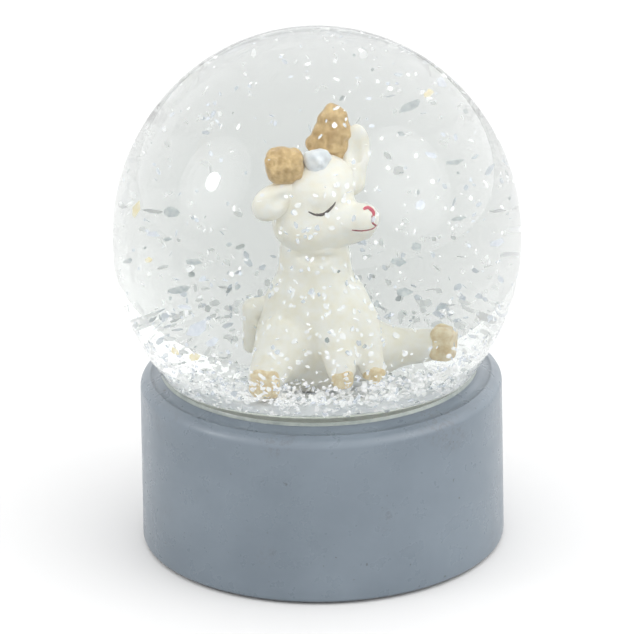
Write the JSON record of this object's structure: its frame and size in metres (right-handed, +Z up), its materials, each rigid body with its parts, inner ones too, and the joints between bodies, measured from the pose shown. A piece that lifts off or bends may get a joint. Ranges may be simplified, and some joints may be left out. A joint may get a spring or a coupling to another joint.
{
  "type": "snow globe",
  "caption": "Water-filled glass ball on a round cast base, with a sitting fawn figurine, drifting flakes and a rubber plug hidden below.",
  "frame": {"origin": "centre of the underside of the whole object, under the ball's centre, at the height of the surface it stands on", "axes": "+Z up through the ball's centre; -Y is the front, the side the picture shows; +X is the image's right"},
  "size_m": [0.065, 0.065, 0.0844],
  "materials": {
    "base_paint": "satin",
    "pad_foam": "matte",
    "adhesive": "gloss",
    "clear_glass": "polished",
    "plug_rubber": "matte",
    "snow": "satin",
    "liquid": "gloss",
    "cream_paint": "satin",
    "white_paint": "satin",
    "gold_paint": "satin"
  },
  "bodies": {
    "globe": {"base_casting": "base_paint", "base_pad": "pad_foam", "seat_adhesive": "adhesive", "glass_globe": "clear_glass", "rubber_plug": "plug_rubber", "plug_sealant": "adhesive", "snow_mound": "snow", "settled_flakes": "snow", "fawn_body": "cream_paint", "fawn_head": "cream_paint", "fawn_tail": "cream_paint", "ear_near": "cream_paint", "ear_far": "cream_paint", "forelock": "white_paint", "horn_near": "gold_paint", "horn_far": "gold_paint", "hind_hoof_near": "gold_paint", "hind_hoof_far": "gold_paint", "fore_hoof_near": "gold_paint", "fore_hoof_far": "gold_paint"},
    "liquid": {"liquid": "liquid"}
  },
  "joints": [
    {"name": "snow_swirl", "type": "hinge", "parent": "globe", "child": "liquid", "pos_m": [0, 0, 0.05195], "axis": [0, 0, 1], "continuous": true}
  ]
}
